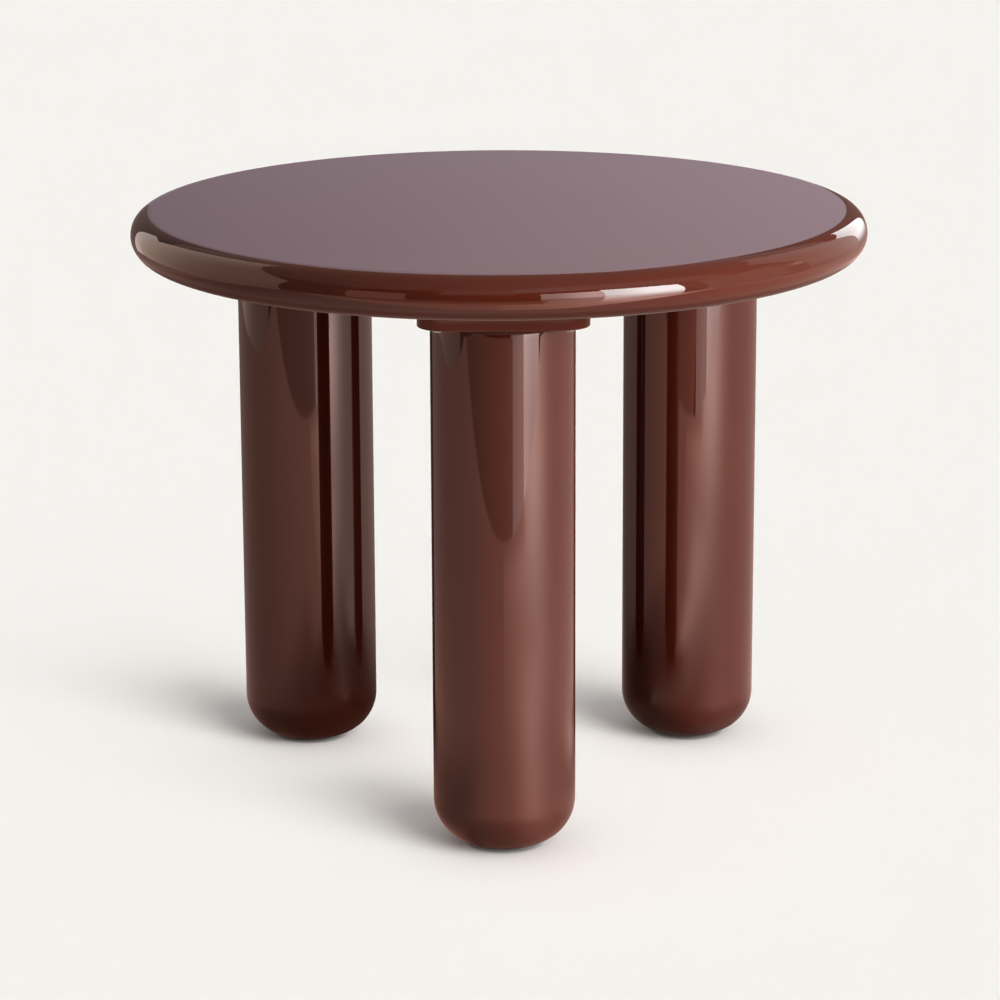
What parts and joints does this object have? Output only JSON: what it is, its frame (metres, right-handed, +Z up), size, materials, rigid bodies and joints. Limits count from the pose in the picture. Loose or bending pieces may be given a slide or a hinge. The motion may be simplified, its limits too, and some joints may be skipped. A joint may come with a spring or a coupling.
{
  "type": "side table",
  "caption": "Round lacquered side table with a half-round edge, on thick round legs with rounded feet and square mounting plates.",
  "frame": {"origin": "on the floor, under the middle of the round top", "axes": "+Z up, -Y towards the front leg, +X to the right as seen from the front"},
  "size_m": [0.4999, 0.4998, 0.4],
  "materials": {
    "oxblood_lacquer": "high-gloss lacquer",
    "raw_board": "raw",
    "zinc_plated_steel": "bright zinc",
    "yellow_zinc_steel": "yellow zinc",
    "dark_nylon": "moulded, matt"
  },
  "bodies": {
    "root": {"tabletop": "oxblood_lacquer", "front_leg_tube": "oxblood_lacquer", "right_leg_tube": "oxblood_lacquer", "left_leg_tube": "oxblood_lacquer", "front_head_block": "raw_board", "right_head_block": "raw_board", "left_head_block": "raw_board", "front_foot": "oxblood_lacquer", "right_foot": "oxblood_lacquer", "left_foot": "oxblood_lacquer", "front_glide": "dark_nylon", "right_glide": "dark_nylon", "left_glide": "dark_nylon", "front_glide_screw": "yellow_zinc_steel", "right_glide_screw": "yellow_zinc_steel", "left_glide_screw": "yellow_zinc_steel", "front_mounting_plate": "oxblood_lacquer", "right_mounting_plate": "oxblood_lacquer", "left_mounting_plate": "oxblood_lacquer", "front_plate_screws": "yellow_zinc_steel", "right_plate_screws": "yellow_zinc_steel", "left_plate_screws": "yellow_zinc_steel", "front_corner_bolts": "zinc_plated_steel", "right_corner_bolts": "zinc_plated_steel", "left_corner_bolts": "zinc_plated_steel", "front_threaded_inserts": "zinc_plated_steel", "right_threaded_inserts": "zinc_plated_steel", "left_threaded_inserts": "zinc_plated_steel"}
  },
  "joints": []
}
